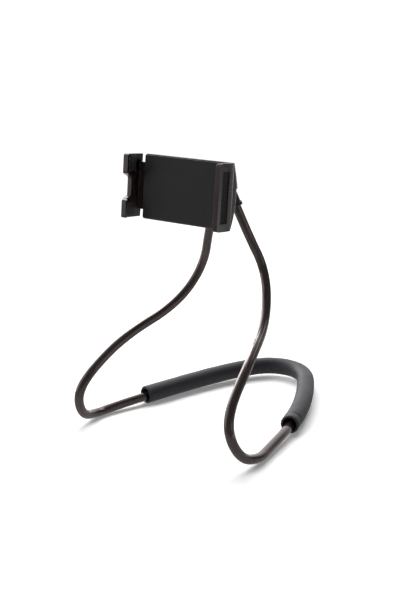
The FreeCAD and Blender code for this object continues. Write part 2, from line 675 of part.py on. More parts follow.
collet = sketch_on(cover, "XY_Plane")
collet_base = CHANNEL_BACK + " + sizes.collet_root"
collet_corners = (
    ("0", collet_base),
    ("sizes.collet_flange / 2", collet_base),
    ("sizes.collet_flange / 2", "-sizes.collet_flange_back"),
    ("sizes.collet_diameter / 2", "-sizes.collet_flange_back"),
    ("sizes.collet_diameter / 2", "sizes.collet_back"),
    ("sizes.collet_mouth / 2", "sizes.collet_back"),
    ("sizes.collet_lip_diameter / 2", "sizes.collet_lip"),
    (SOCKET_RADIUS, "sizes.collet_bore_back"),
    (SOCKET_RADIUS, "-sizes.collet_floor"),
    ("0", "-sizes.collet_floor"),
)
outline(collet, collet_corners)
turned(cover, collet)

slot_front = "-sizes.collet_slot_front"
slot_back = "sizes.collet_back + sizes.cut_margin"
slot_reach = "(sizes.collet_diameter / 2 + sizes.cut_margin)"
slots_across = sketch_on(cover, "XY_Plane")
outline(slots_across, box_corners("-" + slot_reach, slot_reach, slot_front, slot_back))
pocket(cover, slots_across, "sizes.collet_slot", symmetric=True)
slots_upright = sketch_on(cover, "YZ_Plane")
outline(slots_upright, box_corners(slot_front, slot_back, "-" + slot_reach, slot_reach))
pocket(cover, slots_upright, "sizes.collet_slot", symmetric=True)

channel = sketch_on(cover, "XZ_Plane", "-(%s)" % SEAM)
outline(channel, channel_corners)
pocket(cover, channel, "%s - (%s)" % (CHANNEL_BACK, SEAM))

ways = sketch_on(cover, "XZ_Plane", "-(%s)" % SEAM)
for across, along in SCREW_CORNERS:
    circle(ways, across, along, "sizes.cover_screw_shank / 2 + sizes.screw_gap")
pocket(cover, ways, "sizes.cover_crown")
seats = sketch_on(cover, "XZ_Plane", "-(%s + sizes.cover_screw_seat)" % FACE)
for across, along in SCREW_CORNERS:
    circle(seats, across, along, "sizes.cover_screw_head / 2 + sizes.screw_gap")
pocket(cover, seats, "sizes.cover_crown")
keep(cover, "rear_cover", CLIP)

screw_seat = number(FACE + " + sizes.cover_screw_seat")
screw_length = size("cover_screw_seat") - size("seam_depth") + size("cover_screw_bite")
screw_places = [Vector(number(across), screw_seat, number(along)) for across, along in SCREW_CORNERS]
screw_group("cover_screws", screw_places, Y_AXIS, size("cover_screw_shank"), size("cover_screw_head"),
            screw_length, CLIP)

# Sliding jaw: wall with two lugs and lips, and the tongue that runs in the channel

slider = new_body("sliding_jaw")
wall = sketch_on(slider, "XY_Plane")
slider_lip = FACE + " - sizes.slider_reach + sizes.lip_thickness"
slider_outer = "(-sizes.slider_inner - sizes.slider_wall)"
wall_corners = (
    ("-sizes.slider_inner", FACE + " + sizes.slider_rear"),
    ("-sizes.slider_inner", slider_lip + " + sizes.lip_slope"),
    ("-sizes.slider_inner + sizes.lip_overhang", slider_lip),
    ("-sizes.slider_inner + sizes.lip_overhang", FACE + " - sizes.slider_reach"),
    (slider_outer + " + sizes.slider_chamfer", FACE + " - sizes.slider_reach"),
    (slider_outer, FACE + " - sizes.slider_reach + 2 * sizes.slider_chamfer"),
    (slider_outer, FACE + " + sizes.slider_rear"),
)
outline(wall, wall_corners)
pad(slider, wall, "sizes.slider_height", symmetric=True)

notch = sketch_on(slider, "YZ_Plane")
notch_top = "(sizes.slider_height / 2 - sizes.upper_lug)"
notch_low = "(-sizes.slider_height / 2 + sizes.lower_lug)"
notch_mouth = FACE + " - sizes.slider_reach"
notch_bottom = notch_mouth + " + sizes.notch_depth"
notch_corners = (
    (notch_mouth, notch_low),
    (notch_bottom, notch_low + " + sizes.notch_slope"),
    (notch_bottom, notch_top + " - sizes.notch_slope"),
    (notch_mouth, notch_top),
)
outline(notch, notch_corners)
pocket(slider, notch, "4 * sizes.slider_inner", symmetric=True)
tip_zone = number(notch_bottom) + size("lug_rounding")
round_edges(slider, "sizes.lug_rounding",
            lambda edge: runs_along(edge, X_AXIS) and edge.CenterOfMass.y < tip_zone)

tongue = sketch_on(slider, "XZ_Plane", "-(%s)" % TONGUE_BACK)
outline(tongue, box_corners("-sizes.slider_inner - sizes.slider_wall / 2", "sizes.tongue_end",
                            "-sizes.tongue_height / 2", "sizes.tongue_height / 2"))
pad(slider, tongue, "sizes.tongue_thickness")
slot = sketch_on(slider, "XZ_Plane", "-(%s)" % TONGUE_BACK)
outline(slot, box_corners("-sizes.spring_slot_left", "sizes.spring_slot_right",
                          "-sizes.spring_slot_height / 2", "sizes.spring_slot_height / 2"))
pocket(slider, slot, "2 * sizes.tongue_thickness", symmetric=True)
keep(slider, "sliding_jaw", CLIP)

# Rubber pads on the lugs

LUG_PADS = (
    ("upper", notch_top + " + sizes.lug_pad_margin", "sizes.slider_height / 2 - sizes.lug_pad_margin"),
    ("lower", "-sizes.slider_height / 2 + sizes.lug_pad_margin", notch_low + " - sizes.lug_pad_margin"),
)
for word, low, high in LUG_PADS:
    lug_pad = new_body("lug_pad_" + word)
    face = sketch_on(lug_pad, "YZ_Plane", "-sizes.slider_inner")
    outline(face, box_corners(FACE + " - sizes.lug_pad_front", FACE + " - sizes.lug_pad_back", low, high))
    pad(lug_pad, face, "sizes.lug_pad_thickness")
    round_edges(lug_pad, "sizes.lug_pad_margin", lambda edge: runs_along(edge, X_AXIS))
    keep(lug_pad, "lug_pad_" + word, CLIP)

# Return spring in the tongue's slot, between the post and the slot's far end

spring_left = number(post_left) + size("post_length") + size("post_gap")
spring_right = size("spring_slot_right") - size("post_gap")
coil_radius = (size("spring_diameter") - size("spring_wire")) / 2
coil_length = spring_right - spring_left - size("spring_wire")
spring_depth = (number(TONGUE_FRONT) + number(TONGUE_BACK)) / 2
chords = round(coil_length / size("spring_pitch") * CHORDS_PER_TURN)
turn_step = 2 * math.pi / CHORDS_PER_TURN
coil_points = [Vector(spring_left + size("spring_wire") / 2 + coil_length * n / chords,
                      spring_depth + coil_radius * math.cos(turn_step * n),
                      coil_radius * math.sin(turn_step * n)) for n in range(chords + 1)]
half_wire = size("spring_wire") / 2
wire_corners = [coil_points[0] + Vector(across, out, 0)
                for across, out in ((-half_wire, -half_wire), (half_wire, -half_wire),
                                    (half_wire, half_wire), (-half_wire, half_wire))]
coil_maker = Part.BRepOffsetAPI.MakePipeShell(Part.makePolygon(coil_points))
coil_maker.setTransitionMode(1)
coil_maker.add(Part.makePolygon(wire_corners + wire_corners[:1]))
coil_maker.build()
coil_maker.makeSolid()
spring = doc.addObject("Part::Feature", "return_spring")
spring.Shape = coil_maker.shape()
keep(spring, "return_spring", CLIP)

# Tests and files

doc.recompute()
for item in doc.Objects:
    if "Invalid" in item.State or "Error" in item.State:
        raise RuntimeError("failed to build: " + item.Name)
for part in PARTS:
    if part.Shape.isNull() or not part.Shape.isValid():
        raise RuntimeError("bad shape: " + part.Label)
os.makedirs("parts", exist_ok=True)
for part in PARTS:
    part.Shape.exportStep("parts/%s.step" % part.Label)
    box = part.Shape.BoundBox
    print("%s: %d solid, %.1f mm3, z %.2f to %.2f" % (
        part.Label, len(part.Shape.Solids), part.Shape.Volume, box.ZMin, box.ZMax))
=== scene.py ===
# %% [markdown]
# # Neck phone holder
# The holder is one bendable rod: its middle goes round the neck in a foam sleeve, and its two
# ends meet in a joiner behind a phone clip on a ball joint. Here it is bent into a desk stand.
# This first cell loads the solid model as a fixed frame. Every piece made below is drawn in
# metres, in the same place as the solid that it stands for, and rides on that solid's body.
# The holder's own sizes are written in millimetres, which MM turns into metres. The studio's
# are in metres.

# %% Load the solid model
import math

import bmesh
import bpy
from mathutils import Matrix, Vector, noise


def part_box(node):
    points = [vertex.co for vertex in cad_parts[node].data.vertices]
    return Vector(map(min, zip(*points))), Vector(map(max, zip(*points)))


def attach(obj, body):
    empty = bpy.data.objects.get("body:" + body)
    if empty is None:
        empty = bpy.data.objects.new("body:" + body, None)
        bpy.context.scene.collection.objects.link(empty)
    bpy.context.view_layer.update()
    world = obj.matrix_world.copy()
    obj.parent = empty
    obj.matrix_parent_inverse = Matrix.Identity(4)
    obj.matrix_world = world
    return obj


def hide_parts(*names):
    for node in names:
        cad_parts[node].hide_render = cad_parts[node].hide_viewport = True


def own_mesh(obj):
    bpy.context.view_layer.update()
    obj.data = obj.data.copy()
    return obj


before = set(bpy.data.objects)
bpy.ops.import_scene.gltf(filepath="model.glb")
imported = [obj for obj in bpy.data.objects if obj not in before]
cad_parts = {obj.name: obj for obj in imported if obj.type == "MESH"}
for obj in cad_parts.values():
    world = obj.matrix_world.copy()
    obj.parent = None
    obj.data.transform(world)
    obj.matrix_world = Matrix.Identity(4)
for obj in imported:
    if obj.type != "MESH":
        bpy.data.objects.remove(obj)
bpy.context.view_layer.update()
MM = 0.001

# %% [markdown]
# ## Camera
# The photograph looks down a little on the holder from its front right. The camera's place and
# lens were found by matching the rod's bends, so that the render lies over the photograph.

# %% Camera at the photograph's angle
CAMERA_PLACE = Vector((0.40731, -0.61865, 0.28796))
CAMERA_AZIMUTH = math.radians(35.0)
CAMERA_ELEVATION = math.radians(15.0)
CAMERA_LENS = 59.9
NEAREST_SEEN = 0.01


def link_object(name, data):
    """A new object for some data, linked to the scene."""
    thing = bpy.data.objects.new(name, data)
    bpy.context.scene.collection.objects.link(thing)
    return thing


def make_camera():
    data = bpy.data.cameras.new("photo_camera")
    data.lens = CAMERA_LENS
    data.clip_start = NEAREST_SEEN
    camera = link_object("photo_camera", data)
    level = math.cos(CAMERA_ELEVATION)
    forward = Vector((-math.sin(CAMERA_AZIMUTH) * level, math.cos(CAMERA_AZIMUTH) * level,
                      -math.sin(CAMERA_ELEVATION)))
    camera.location = CAMERA_PLACE
    camera.rotation_euler = forward.to_track_quat("-Z", "Y").to_euler()
    bpy.context.scene.camera = camera
    return camera


camera = make_camera()
print("camera:", tuple(round(v, 3) for v in camera.location))

# %% [markdown]
# ## Shared shader groups
# Moulded plastic, rubber, foam and lacquer all have a fine grain, and all are a little uneven in
# tone and gloss where hands touch them. Moulded corners get a lighter colour, a painted highlight
# where their rounding would catch the light. These effects are node groups with named inputs, made
# once and placed in each finish with its own values. Where the corners are is told by a face
# attribute that the rounding step writes further down. The shader itself stays in the material.
#
# The helpers below build shader trees and Geometry Nodes trees alike. An input is given either a
# plain value or the socket that feeds it. A Mix node has number and colour sockets under the same
# names, so those are found by their place in the list.

# %% Helpers for node trees
MIX_SOCKETS = {"FLOAT": (2, 3, 0), "RGBA": (6, 7, 2)}


def feed(tree, given, socket):
    """Links a socket to an input, or sets the input to a plain value."""
    if isinstance(given, bpy.types.NodeSocket):
        tree.links.new(given, socket)
    else:
        socket.default_value = given


def set_inputs(tree, node, **inputs):
    """Feeds the inputs of a node, which are named with _ for a space."""
    for name, given in inputs.items():
        feed(tree, given, node.inputs[name.replace("_", " ")])


def add_node(tree, kind, **inputs):
    node = tree.nodes.new(kind)
    set_inputs(tree, node, **inputs)
    return node


def add_math(tree, operation, *terms, kind="ShaderNodeMath"):
    """The value of a Math node, or of one for vectors, with its terms in order."""
    node = tree.nodes.new(kind)
    node.operation = operation
    for given, socket in zip(terms, node.inputs):
        feed(tree, given, socket)
    return node.outputs["Value"]


def add_mix(tree, data_type, factor, first, second):
    """The first number or colour where the factor is 0, and the second where it is 1."""
    node = tree.nodes.new("ShaderNodeMix")
    node.data_type = data_type
    a, b, result = MIX_SOCKETS[data_type]
    feed(tree, factor, node.inputs[0])
    feed(tree, first, node.inputs[a])
    feed(tree, second, node.inputs[b])
    return node.outputs[result]


def add_ramp(tree, value, reach, start, end, shape="SMOOTHSTEP"):
    """Goes from start to end while a value goes from one end of a reach to the other."""
    ramp = add_node(tree, "ShaderNodeMapRange", Value=value, From_Min=reach[0], From_Max=reach[1],
                    To_Min=start, To_Max=end)
    ramp.interpolation_type = shape
    return ramp.outputs["Result"]


print("mix sockets:", MIX_SOCKETS)

# %% Grain, handling and painted corner highlights
PATCH_CONTRAST = (0.3, 0.7)
CORNER = "corner"


def new_group(name, inputs, outputs):
    """Starts a shader group with float inputs, given with their defaults, and float outputs."""
    group = bpy.data.node_groups.new(name, "ShaderNodeTree")
    for label, default in inputs.items():
        socket = group.interface.new_socket(label, in_out="INPUT", socket_type="NodeSocketFloat")
        socket.default_value = default
    for label in outputs:
        group.interface.new_socket(label, in_out="OUTPUT", socket_type="NodeSocketFloat")
    return group, group.nodes.new("NodeGroupInput").outputs, group.nodes.new("NodeGroupOutput")


def make_grain_group():
    """Fine surface grain: Height for a bump, from noise and small rounded cells."""
    group, source, sink = new_group("fine_grain", {"Grain Scale": 2000.0, "Cell Share": 0.3}, ["Height"])
    place = group.nodes.new("ShaderNodeTexCoord").outputs["Object"]
    fine = add_node(group, "ShaderNodeTexNoise", Vector=place, Scale=source["Grain Scale"],
                    Detail=4.0, Roughness=0.6)
    cells = add_node(group, "ShaderNodeTexVoronoi", Vector=place, Scale=source["Grain Scale"])
    height = add_mix(group, "FLOAT", source["Cell Share"], fine.outputs["Fac"], cells.outputs["Distance"])
    set_inputs(group, sink, Height=height)
    return group


def make_handling_group():
    """Large soft patches from handling: Tone is a mask, Gloss a roughness round its base."""
    group, source, sink = new_group(
        "handling_patches", {"Patch Scale": 60.0, "Base Roughness": 0.4, "Roughness Range": 0.1},
        ["Tone", "Gloss"])
    place = group.nodes.new("ShaderNodeTexCoord").outputs["Object"]
    patches = add_node(group, "ShaderNodeTexNoise", Vector=place, Scale=source["Patch Scale"],
                       Detail=3.0, Roughness=0.55)
    tone = add_ramp(group, patches.outputs["Fac"], PATCH_CONTRAST, 0.0, 1.0, shape="LINEAR")
    centred = add_math(group, "SUBTRACT", tone, 0.5)
    gloss = add_math(group, "MULTIPLY_ADD", centred, source["Roughness Range"], source["Base Roughness"])
    set_inputs(group, sink, Tone=tone, Gloss=gloss)
    return group


def make_edge_highlight_group():
    """Painted highlight on the corners: Edge is up to the input on the rounded corners and 0 on flats."""
    group, source, sink = new_group("painted_edge_highlight", {"Highlight": 1.0}, ["Edge"])
    corner = group.nodes.new("ShaderNodeAttribute")
    corner.attribute_name = CORNER
    set_inputs(group, sink, Edge=add_math(group, "MULTIPLY", corner.outputs["Fac"], source["Highlight"]))
    return group


GRAIN = make_grain_group()
HANDLING = make_handling_group()
EDGES = make_edge_highlight_group()
print("shader groups:", GRAIN.name, HANDLING.name, EDGES.name)

# %% [markdown]
# ## Finishes
# The clip is glossy black plastic with a faint red-brown cast. The rod has a smooth brown-black
# coat, partly metallic and lacquered, so that light runs along it in thin streaks. The sleeve is
# fine dark foam with a satin skin and a faint blue cast, and the pads are soft matt rubber. In the
# fixed jaw's recessed window the rubber is a darker copy, painted shade, and on the lugs a lighter
# copy, painted light. Colours are linear values. Each finish takes two close tones that the
# handling patches mix, a roughness from the same group, and a bump from the grain group.

# %% How a finish is made
GRAIN_HEIGHT = 0.2
COAT_ROUGHNESS = 0.12


def add_group(tree, group, **inputs):
    """Places a shared group in a material with the material's own values."""
    node = tree.nodes.new("ShaderNodeGroup")
    node.node_tree = group
    set_inputs(tree, node, **inputs)
    return node.outputs


def make_finish(name, dark, light, roughness, spread, grain_scale, cell_share, bump, patch_scale=60.0,
                edge_light=None, metallic=0.0, specular=0.5, coat=0.0):
    """A Principled finish: two tones in patches, uneven gloss, grain and painted corner highlights."""
    material = bpy.data.materials.new(name)
    material.use_nodes = True
    tree = material.node_tree
    handling = add_group(tree, HANDLING, Patch_Scale=patch_scale, Base_Roughness=roughness,
                         Roughness_Range=spread)
    colour = add_mix(tree, "RGBA", handling["Tone"], (*dark, 1.0), (*light, 1.0))
    if edge_light:
        edges = add_group(tree, EDGES)
        colour = add_mix(tree, "RGBA", edges["Edge"], colour, (*edge_light, 1.0))
    grain = add_group(tree, GRAIN, Grain_Scale=grain_scale, Cell_Share=cell_share)
    relief = add_node(tree, "ShaderNodeBump", Height=grain["Height"], Strength=bump,
                      Distance=GRAIN_HEIGHT * MM)
    set_inputs(tree, tree.nodes["Principled BSDF"], Base_Color=colour, Roughness=handling["Gloss"],
               Normal=relief.outputs["Normal"], Metallic=metallic, Specular_IOR_Level=specular,
               Coat_Weight=coat, Coat_Roughness=COAT_ROUGHNESS)
    return material


print("grain height: %.1f mm" % GRAIN_HEIGHT)

# %% Finishes of the holder
# edge_light is a painted highlight: a lighter colour on the rounded corners.
FINISH_LOOKS = {
    "rod_coat": dict(
        dark=(0.078, 0.058, 0.054), light=(0.1, 0.076, 0.071), roughness=0.12, spread=0.05,
        grain_scale=2600.0, cell_share=0.1, bump=0.01, patch_scale=40.0, metallic=0.75, coat=0.6),
    "foam_sleeve": dict(
        dark=(0.0265, 0.0252, 0.031), light=(0.0335, 0.0318, 0.039), roughness=0.55, spread=0.1,
        grain_scale=1500.0, cell_share=0.8, bump=0.35, patch_scale=120.0, specular=0.45),
    "clip_plastic": dict(
        dark=(0.02, 0.0115, 0.0122), light=(0.028, 0.017, 0.018), roughness=0.28, spread=0.08,
        grain_scale=3500.0, cell_share=0.2, bump=0.015, edge_light=(0.07, 0.058, 0.058), specular=0.42),
    "soft_rubber": dict(
        dark=(0.0125, 0.0112, 0.012), light=(0.017, 0.0155, 0.0164), roughness=0.62, spread=0.12,
        grain_scale=2200.0, cell_share=0.6, bump=0.22, patch_scale=90.0,
        edge_light=(0.05, 0.046, 0.047), specular=0.35),
    # Painted shade: the pad rubber made darker for the fixed jaw's recessed window.
    "painted_shade_rubber": dict(
        dark=(0.007, 0.0068, 0.0072), light=(0.011, 0.0105, 0.011), roughness=0.7, spread=0.12,
        grain_scale=2200.0, cell_share=0.6, bump=0.2, patch_scale=90.0, specular=0.25),
    # Painted light: the pad rubber made lighter for the lugs.
    "painted_light_rubber": dict(
        dark=(0.026, 0.0252, 0.0258), light=(0.034, 0.033, 0.0338), roughness=0.6, spread=0.12,
        grain_scale=2200.0, cell_share=0.6, bump=0.2, patch_scale=90.0,
        edge_light=(0.06, 0.056, 0.057), specular=0.35),
    "grip_plastic": dict(
        dark=(0.011, 0.009, 0.009), light=(0.017, 0.014, 0.014), roughness=0.45, spread=0.1,
        grain_scale=2800.0, cell_share=0.4, bump=0.2, edge_light=(0.035, 0.03, 0.03)),
    "steel": dict(
        dark=(0.48, 0.48, 0.49), light=(0.58, 0.58, 0.59), roughness=0.3, spread=0.12,
        grain_scale=3000.0, cell_share=0.1, bump=0.06, patch_scale=300.0, metallic=1.0),
    "liner_nylon": dict(
        dark=(0.6, 0.58, 0.53), light=(0.7, 0.68, 0.63), roughness=0.5, spread=0.1,
        grain_scale=2500.0, cell_share=0.2, bump=0.1),
}
FINISHES = {name: make_finish(name, **look) for name, look in FINISH_LOOKS.items()}
print("finishes:", ", ".join(FINISHES))

# %% [markdown]
# ## Finishing a piece
# A finished piece has its place in its mesh. It rides on a body and hides the solid that it
# stands for.

# %% Helpers that finish a piece


def new_piece(name, mesh, finish):
    mesh.materials.clear()
    mesh.materials.append(FINISHES[finish])
    return link_object(name, mesh)


def declare(piece, body, slot, *nodes):
    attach(piece, body)
    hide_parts(*nodes)
    print("%s: %d faces, stands for %s" % (piece.name, len(piece.data.polygons), ", ".join(nodes)))


def plain_mesh(maker, name):
    """The evaluated result of an object with modifiers, as a mesh of its own."""
    graph = bpy.context.evaluated_depsgraph_get()
    mesh = bpy.data.meshes.new_from_object(maker.evaluated_get(graph), depsgraph=graph)
    mesh.name = name
    return mesh


print("solids to dress:", len(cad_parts))

# %% [markdown]
# ## Rod
# The rod is pushed into two sockets of the joiner, runs straight down, and is bent by hand: forward
# and down, round on the table and through the sleeve. A line with hard corners would look like
# bent wire, so the bends are the control points of one NURBS spline, and a small Geometry Nodes
# tree sweeps a round section along it. The first points come from the joiner's own sizes. Bends
# made by hand are never quite alike, so the arms' upper bends and the collar's two sides differ a
# little. The collar's back is sprung up off the table: the third value of a collar point is that
# lift.

# %% Route of the rod
BALL = Vector((0.0, -35.5, 179.0))
RAKE = math.radians(11.2)
SPLAY = math.radians(19.8)
STUD_REACH = 27.0
ROD_END = Vector((5.0, 0.0, -6.9))
SOCKET_STRAIGHT = 35.0
JOINER_TURN = Matrix.Rotation(RAKE, 3, "X")
JOINER_PLACE = BALL + JOINER_TURN @ Vector((0.0, STUD_REACH, 0.0))
SOCKET_WAY = JOINER_TURN @ Vector((math.sin(SPLAY), 0.0, -math.cos(SPLAY)))
UPPER_RIGHT = ((27.6, 10.4, 113.8), (41.7, -11.7, 82.0))
UPPER_LEFT = ((-29.9, 10.4, 111.1), (-40.5, -11.7, 82.9))
FRONT_BENDS = ((55.9, -57.1, 65.9), (62.3, -91.5, 45.0), (66.9, -100.5, 28.2), (71.4, -90.4, 8.7),
               (74.5, -72.2, 3.5), (71.5, -55.5, 4.1))
COLLAR_RIGHT = ((66.5, -21.5, 0.0), (56.0, 16.5, 0.5), (40.0, 54.5, 1.6), (17.5, 93.2, 2.6))
COLLAR_LEFT = ((-17.5, 93.2, 2.6), (-39.0, 54.0, 1.6), (-53.0, 11.0, 0.6), (-62.5, -28.0, 0.4))
ROD_IN_SLEEVE = 5.75
SPLINE_ORDER = 3
SPLINE_STEPS = 24


def mirrored(points):
    return [Vector((-p.x, p.y, p.z)) for p in points]


def rod_route():
    start = JOINER_PLACE + JOINER_TURN @ ROD_END
    socket = [start, start + SOCKET_WAY * SOCKET_STRAIGHT]
    front = [Vector(bend) for bend in FRONT_BENDS]
    right = socket + [Vector(bend) for bend in UPPER_RIGHT] + front
    left = mirrored(socket) + [Vector(bend) for bend in UPPER_LEFT] + mirrored(front)
    collar = [Vector((x, y, ROD_IN_SLEEVE + lift)) for x, y, lift in COLLAR_RIGHT + COLLAR_LEFT]
    return right + collar + left[::-1]


def smooth_curve(name, points):
    """A NURBS curve, in metres, whose control points are the route's."""
    data = bpy.data.curves.new(name, "CURVE")
    data.dimensions = "3D"
    spline = data.splines.new("NURBS")
    spline.points.add(len(points) - 1)
    for target, point in zip(spline.points, points):
        target.co = (*(point * MM), 1.0)
    spline.order_u = SPLINE_ORDER
    spline.use_endpoint_u = True
    spline.resolution_u = SPLINE_STEPS
    return link_object(name, data)


route_curve = smooth_curve("rod_route", rod_route())
print("route:", len(route_curve.data.splines[0].points), "control points")

# %% Helpers for Geometry Nodes trees, and the rod's tree


def new_geometry_tree(name, inputs):
    """Starts a tree with named inputs, given with their kinds, and one mesh as its output."""
    tree = bpy.data.node_groups.new(name, "GeometryNodeTree")
    for label, kind in inputs.items():
        tree.interface.new_socket(label, in_out="INPUT", socket_type="NodeSocket" + kind)
    tree.interface.new_socket("Geometry", in_out="OUTPUT", socket_type="NodeSocketGeometry")
    return tree, tree.nodes.new("NodeGroupInput").outputs, tree.nodes.new("NodeGroupOutput")


def add_sweep(tree, path, radius, sides):
    """A round section swept along a path and closed at both ends."""
    section = add_node(tree, "GeometryNodeCurvePrimitiveCircle", Radius=radius, Resolution=sides)
    sweep = add_node(tree, "GeometryNodeCurveToMesh", Curve=path,
                     Profile_Curve=section.outputs["Curve"], Fill_Caps=True)
    return sweep.outputs["Mesh"]


def close_tree(tree, geometry, finish, sink, smooth):
    """Ends a tree: copies become real, faces smooth where asked, and the finish is set."""
    grown = add_node(tree, "GeometryNodeRealizeInstances", Geometry=geometry).outputs["Geometry"]
    if smooth:
        grown = add_node(tree, "GeometryNodeSetShadeSmooth", Geometry=grown).outputs["Geometry"]
    dressed = add_node(tree, "GeometryNodeSetMaterial", Geometry=grown, Material=finish)
    set_inputs(tree, sink, Geometry=dressed.outputs["Geometry"])


def grown_mesh(name, tree, values):
    """Runs a Geometry Nodes tree on an empty mesh and returns what it grew as a plain mesh."""
    maker = link_object(name + "_maker", bpy.data.meshes.new(name + "_seed"))
    modifier = maker.modifiers.new(name, "NODES")
    modifier.node_group = tree
    for item in tree.interface.items_tree:
        if item.in_out == "INPUT" and item.name in values:
            modifier[item.identifier] = values[item.name]
    mesh = plain_mesh(maker, name)
    bpy.data.objects.remove(maker)
    return mesh


def make_rod_tree():
    """A round section of a given radius and number of sides, swept along a curve object."""
    tree, source, sink = new_geometry_tree("round_rod_on_route", {
        "Route": "Object", "Radius": "Float", "Sides": "Int", "Finish": "Material"})
    route = add_node(tree, "GeometryNodeObjectInfo", Object=source["Route"])
    swept = add_sweep(tree, route.outputs["Geometry"], source["Radius"], source["Sides"])
    close_tree(tree, swept, source["Finish"], sink, smooth=True)
    return tree


ROD_TREE = make_rod_tree()
print("rod tree:", len(ROD_TREE.nodes), "nodes")

# %% Rod swept along the route
ROD_RADIUS = 3.5
ROD_SIDES = 40

rod_mesh = grown_mesh("gooseneck_rod_coated", ROD_TREE, {
    "Route": route_curve, "Radius": ROD_RADIUS * MM, "Sides": ROD_SIDES, "Finish": FINISHES["rod_coat"]})
rod = new_piece("gooseneck_rod_coated", rod_mesh, "rod_coat")
declare(rod, "neck_frame", "rod_coat", "gooseneck_rod")

# %% [markdown]
# ## Foam sleeve
# The sleeve is a soft foam tube, loose on the rod: the rod rests near the bottom of its bore, and a
# dark crescent shows above the rod at each end. It has slid a little way to the left. It is built
# ring by ring along the rod's own spline, out along the outside, over a rounded lip and back
# through the bore. Foam is never quite even, so the outside swells and dips by a fraction of a
# millimetre, gathers in small folds inside the tight bend, and has one crease near its right-hand
# end.

# %% Points of the collar
SLEEVE_RADIUS = 7.0
SLEEVE_BORE = 5.0
SLEEVE_END_Y = {"right": -14.0, "left": -25.0}
RING_STEP = 1.1


def spline_points(curve):
    """The points of a curve without a bevel, in millimetres."""
    mesh = plain_mesh(curve, "route_points")
    points = [vertex.co / MM for vertex in mesh.vertices]
    bpy.data.meshes.remove(mesh)
    return points


def even_steps(points, step):
    """Points at even steps along a line of points."""
    lengths = [(b - a).length for a, b in zip(points, points[1:])]
    count = round(sum(lengths) / step)
    target = sum(lengths) / count
    spaced = [points[0]]
    walked = 0.0
    for (a, b), length in zip(zip(points, points[1:]), lengths):
        while len(spaced) < count and walked + length >= target * len(spaced):
            spaced.append(a.lerp(b, (target * len(spaced) - walked) / length))
        walked += length
    return spaced + [points[-1]]


BORE_SLACK = SLEEVE_RADIUS - ROD_IN_SLEEVE
on_collar = [p for p in spline_points(route_curve)
             if p.y > SLEEVE_END_Y["right" if p.x > 0 else "left"] and p.z < 2 * SLEEVE_RADIUS]
collar_line = even_steps(
    [Vector((p.x, p.y, max(p.z + BORE_SLACK, SLEEVE_RADIUS))) for p in on_collar], RING_STEP)
bpy.data.objects.remove(route_curve)
print("collar:", len(collar_line), "rings")

# %% Unevenness of the foam
UP = Vector((0.0, 0.0, 1.0))
SWELL_DEPTH = 0.14
SWELL_GRAIN = 0.09
FOLD_DEPTH = 0.08
FOLD_LENGTH = 4.6
FOLD_WANDER = 2.0
FOLD_GRAIN = 0.05
BEND_RINGS = 6
FULL_FOLD_TURN = 0.2
CREASE_RING = 7
CREASE_DEPTH = 0.55
CREASE_WIDTH = 1.5
CREASE_SLANT = 1.2
CREASE_SIDE = 0.5


def ring_frames(points):
    """Each point with the way along and the level way to its outside."""
    frames = []
    for i, point in enumerate(points):
        ahead = points[min(i + 1, len(points) - 1)] - points[max(i - 1, 0)]
        ahead.normalize()
        frames.append((point, ahead, ahead.cross(UP).normalized()))
    return frames


def foam_swell(point, side, angle):
    """Soft swells and dips all over."""
    around = side * math.cos(angle) + UP * math.sin(angle)
    return SWELL_DEPTH * noise.noise((point + around * SLEEVE_RADIUS) * SWELL_GRAIN)


def foam_fold(i, angle, frames):
    """Folds on the inside of the bend, as deep as the bend is tight."""
    before = frames[max(i - BEND_RINGS, 0)][1]
    after = frames[min(i + BEND_RINGS, len(frames) - 1)][1]
    inward = before.cross(after).z
    facing_in = math.cos(angle) * (-1.0 if inward > 0 else 1.0)
    wander = FOLD_WANDER * noise.noise(frames[i][0] * FOLD_GRAIN)
    wave = math.sin(2 * math.pi * i * RING_STEP / FOLD_LENGTH + wander)
    tightness = min(before.angle(after) / FULL_FOLD_TURN, 1.0)
    return FOLD_DEPTH * max(facing_in, 0.0) ** 2 * tightness * wave


def foam_crease(i, angle):
    """One slanted crease over the top, near the right-hand end."""
    off = (i - CREASE_RING + CREASE_SLANT * math.sin(angle)) * RING_STEP / CREASE_WIDTH
    return CREASE_DEPTH * math.exp(-off * off) * max(math.sin(angle + CREASE_SIDE), 0.0) ** 2


def foam_relief(i, angle, frames):
    """How far the foam's outside stands out at ring i, in millimetres."""
    point, _, side = frames[i]
    return foam_swell(point, side, angle) + foam_fold(i, angle, frames) - foam_crease(i, angle)


collar_frames = ring_frames(collar_line)
print("relief on top of the first ring: %.2f mm" % foam_relief(0, math.pi / 2, collar_frames))

# %% Sleeve, ring by ring
SLEEVE_SIDES = 72
LIP = 0.9
LIP_TURNS = [math.radians(a) for a in (15, 45, 75)]
BORE_STRIDE = 2


def add_ring(mesh, frames, i, slide, radius, outside):
    """A ring of points round ring place i, moved along by slide, in millimetres."""
    point, ahead, side = frames[i]
    ring = []
    for n in range(SLEEVE_SIDES):
        angle = 2 * math.pi * n / SLEEVE_SIDES
        reach = radius + (foam_relief(i, angle, frames) if outside else 0.0)
        place = point + ahead * slide + side * math.cos(angle) * reach + UP * math.sin(angle) * reach
        place.z = max(place.z, 0.0)
        ring.append(mesh.verts.new(place * MM))
    return ring


